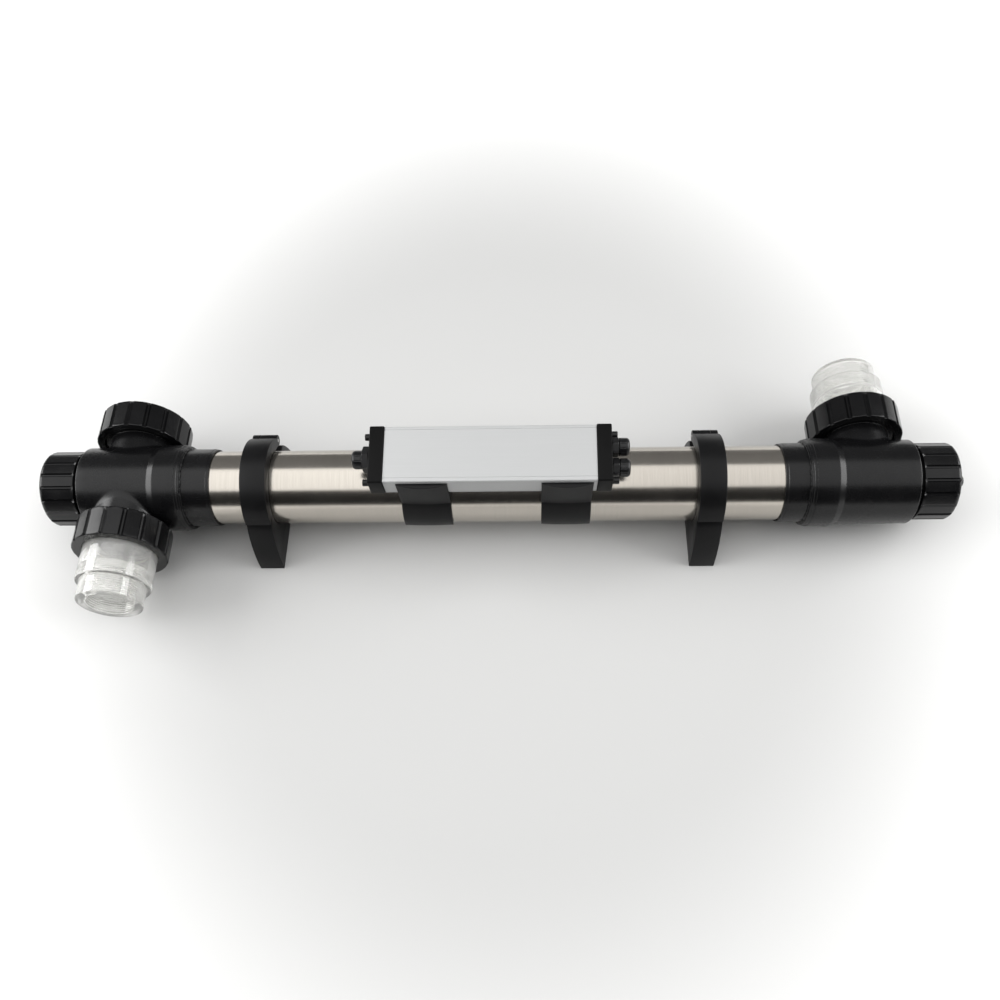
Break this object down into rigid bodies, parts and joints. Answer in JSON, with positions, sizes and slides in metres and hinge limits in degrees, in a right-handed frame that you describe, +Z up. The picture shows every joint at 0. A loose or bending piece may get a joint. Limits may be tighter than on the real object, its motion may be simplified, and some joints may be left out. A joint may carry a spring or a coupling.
{
  "type": "uv clarifier",
  "caption": "In-line UV-C water clarifier: steel reactor tube between black tees with union ports, screw caps, pipe clips with hinged straps and a ballast box on saddles.",
  "frame": {"origin": "centre of the bounding box's base, on the surface the clip feet stand on", "axes": "+X along the reactor tube towards the lamp end, +Y towards the rear ports, +Z up"},
  "size_m": [0.9452, 0.2704, 0.1382],
  "materials": {
    "steel": "satin brushed round the tube",
    "black_pvc": "satin moulded PVC",
    "nut_plastic": "semi-gloss moulded grip",
    "clip_plastic": "satin moulded clip",
    "clear_plastic": "milky clear moulding",
    "ring_plastic": "natural plastic",
    "seal_rubber": "matt",
    "quartz": "clear polished",
    "lamp_glass": "clear polished",
    "lamp_ceramic": "unglazed white",
    "aluminium": "satin anodised",
    "box_cap_plastic": "fine texture",
    "gland_plastic": "satin nylon",
    "circuit_board": "solder resist",
    "winding": "varnished copper",
    "zinc": "zinc plated",
    "black_steel": "blackened screw heads"
  },
  "bodies": {
    "reactor": {"reactor_tube": "steel", "left_cross": "black_pvc", "right_tee": "black_pvc", "left_sleeve": "black_pvc", "right_sleeve": "black_pvc", "blank_plug": "black_pvc", "lamp_plug": "black_pvc", "quartz_end_holder": "black_pvc", "left_clip_base": "clip_plastic", "right_clip_base": "clip_plastic", "saddle_left": "clip_plastic", "saddle_right": "clip_plastic", "inlet_adapter": "clear_plastic", "outlet_adapter": "clear_plastic", "inlet_seal": "seal_rubber", "outlet_seal": "seal_rubber", "blank_seal": "seal_rubber", "left_end_seal": "seal_rubber", "right_end_seal": "seal_rubber", "quartz_seal": "seal_rubber", "quartz_sleeve": "quartz", "uv_lamp": "lamp_glass", "lamp_base_left": "lamp_ceramic", "lamp_base_right": "lamp_ceramic", "ballast_extrusion": "aluminium", "box_cap_left": "box_cap_plastic", "box_cap_right": "box_cap_plastic", "mains_gland_body": "gland_plastic", "front_wire_gland_body": "gland_plastic", "rear_wire_gland_body": "gland_plastic", "lamp_gland_body": "gland_plastic", "ballast_capacitor": "gland_plastic", "ballast_board": "circuit_board", "ballast_choke": "winding", "left_clip_pin": "zinc", "right_clip_pin": "zinc", "box_screw_left_front": "black_steel", "box_screw_left_rear": "black_steel", "box_screw_right_front": "black_steel", "box_screw_right_rear": "black_steel"},
    "inlet_ring": {"inlet_slip_ring": "ring_plastic"},
    "inlet_union_nut": {"inlet_nut": "nut_plastic"},
    "blank_ring": {"blank_slip_ring": "ring_plastic"},
    "blank_union_nut": {"blank_nut": "nut_plastic"},
    "outlet_ring": {"outlet_slip_ring": "ring_plastic"},
    "outlet_union_nut": {"outlet_nut": "nut_plastic"},
    "left_ring": {"left_pressure_ring": "ring_plastic"},
    "left_screw_cap": {"left_end_cap": "nut_plastic"},
    "right_ring": {"right_pressure_ring": "ring_plastic"},
    "lamp_screw_cap": {"right_end_cap": "nut_plastic"},
    "mains_seal": {"mains_gland_seal": "seal_rubber"},
    "mains_dome_nut": {"mains_gland_dome_nut": "gland_plastic"},
    "front_wire_seal": {"front_wire_gland_seal": "seal_rubber"},
    "front_wire_dome_nut": {"front_wire_gland_dome_nut": "gland_plastic"},
    "rear_wire_seal": {"rear_wire_gland_seal": "seal_rubber"},
    "rear_wire_dome_nut": {"rear_wire_gland_dome_nut": "gland_plastic"},
    "lamp_lead_seal": {"lamp_gland_seal": "seal_rubber"},
    "lamp_lead_dome_nut": {"lamp_gland_dome_nut": "gland_plastic"},
    "left_strap": {"left_clip_strap": "clip_plastic"},
    "right_strap": {"right_clip_strap": "clip_plastic"}
  },
  "joints": [
    {"name": "inlet_ring_travel", "type": "slide", "parent": "reactor", "child": "inlet_ring", "axis": [0, -1, 0], "range_m": [0, 0.0064]},
    {"name": "inlet_union_nut_turn", "type": "hinge", "parent": "inlet_ring", "child": "inlet_union_nut", "pos_m": [-0.38865, -0.06, 0.057], "axis": [0, -1, 0], "range_deg": [0, 720]},
    {"name": "blank_ring_travel", "type": "slide", "parent": "reactor", "child": "blank_ring", "axis": [0, 1, 0], "range_m": [0, 0.0064]},
    {"name": "blank_union_nut_turn", "type": "hinge", "parent": "blank_ring", "child": "blank_union_nut", "pos_m": [-0.38865, 0.06, 0.057], "axis": [0, 1, 0], "range_deg": [0, 720]},
    {"name": "outlet_ring_travel", "type": "slide", "parent": "reactor", "child": "outlet_ring", "axis": [0, 1, 0], "range_m": [0, 0.0064]},
    {"name": "outlet_union_nut_turn", "type": "hinge", "parent": "outlet_ring", "child": "outlet_union_nut", "pos_m": [0.37235, 0.06, 0.057], "axis": [0, 1, 0], "range_deg": [0, 720]},
    {"name": "left_ring_travel", "type": "slide", "parent": "reactor", "child": "left_ring", "axis": [-1, 0, 0], "range_m": [0, 0.0064]},
    {"name": "left_screw_cap_turn", "type": "hinge", "parent": "left_ring", "child": "left_screw_cap", "pos_m": [-0.45, 0, 0.057], "axis": [-1, 0, 0], "range_deg": [0, 720]},
    {"name": "right_ring_travel", "type": "slide", "parent": "reactor", "child": "right_ring", "axis": [1, 0, 0], "range_m": [0, 0.0064]},
    {"name": "lamp_screw_cap_turn", "type": "hinge", "parent": "right_ring", "child": "lamp_screw_cap", "pos_m": [0.44, 0, 0.057], "axis": [1, 0, 0], "range_deg": [0, 720]},
    {"name": "mains_seal_travel", "type": "slide", "parent": "reactor", "child": "mains_seal", "axis": [-1, 0, 0], "range_m": [0, 0.0023]},
    {"name": "mains_dome_nut_turn", "type": "hinge", "parent": "mains_seal", "child": "mains_dome_nut", "pos_m": [-0.1255, -0.00892, 0.12048], "axis": [-1, 0, 0], "range_deg": [0, 540]},
    {"name": "front_wire_seal_travel", "type": "slide", "parent": "reactor", "child": "front_wire_seal", "axis": [1, 0, 0], "range_m": [0, 0.0023]},
    {"name": "front_wire_dome_nut_turn", "type": "hinge", "parent": "front_wire_seal", "child": "front_wire_dome_nut", "pos_m": [0.1106, -0.01981, 0.11894], "axis": [1, 0, 0], "range_deg": [0, 540]},
    {"name": "rear_wire_seal_travel", "type": "slide", "parent": "reactor", "child": "rear_wire_seal", "axis": [1, 0, 0], "range_m": [0, 0.0023]},
    {"name": "rear_wire_dome_nut_turn", "type": "hinge", "parent": "rear_wire_seal", "child": "rear_wire_dome_nut", "pos_m": [0.1106, 0.00197, 0.12201], "axis": [1, 0, 0], "range_deg": [0, 540]},
    {"name": "lamp_lead_seal_travel", "type": "slide", "parent": "reactor", "child": "lamp_lead_seal", "axis": [1, 0, 0], "range_m": [0, 0.0023]},
    {"name": "lamp_lead_dome_nut_turn", "type": "hinge", "parent": "lamp_lead_seal", "child": "lamp_lead_dome_nut", "pos_m": [0.45625, 0, 0.057], "axis": [1, 0, 0], "range_deg": [0, 540]},
    {"name": "left_strap_hinge", "type": "hinge", "parent": "reactor", "child": "left_strap", "pos_m": [-0.24725, 0.04399, 0.07903], "axis": [-1, 0, 0], "range_deg": [0, 110]},
    {"name": "right_strap_hinge", "type": "hinge", "parent": "reactor", "child": "right_strap", "pos_m": [0.21155, 0.04399, 0.07903], "axis": [-1, 0, 0], "range_deg": [0, 110]}
  ],
  "couplings": [
    {"joint": "inlet_ring_travel", "follows": "inlet_union_nut_turn", "m_per_rad": 0.00050532},
    {"joint": "blank_ring_travel", "follows": "blank_union_nut_turn", "m_per_rad": 0.00050532},
    {"joint": "outlet_ring_travel", "follows": "outlet_union_nut_turn", "m_per_rad": 0.00050532},
    {"joint": "left_ring_travel", "follows": "left_screw_cap_turn", "m_per_rad": 0.00050532},
    {"joint": "right_ring_travel", "follows": "lamp_screw_cap_turn", "m_per_rad": 0.00050532},
    {"joint": "mains_seal_travel", "follows": "mains_dome_nut_turn", "m_per_rad": 0.00023873},
    {"joint": "front_wire_seal_travel", "follows": "front_wire_dome_nut_turn", "m_per_rad": 0.00023873},
    {"joint": "rear_wire_seal_travel", "follows": "rear_wire_dome_nut_turn", "m_per_rad": 0.00023873},
    {"joint": "lamp_lead_seal_travel", "follows": "lamp_lead_dome_nut_turn", "m_per_rad": 0.00023873}
  ]
}
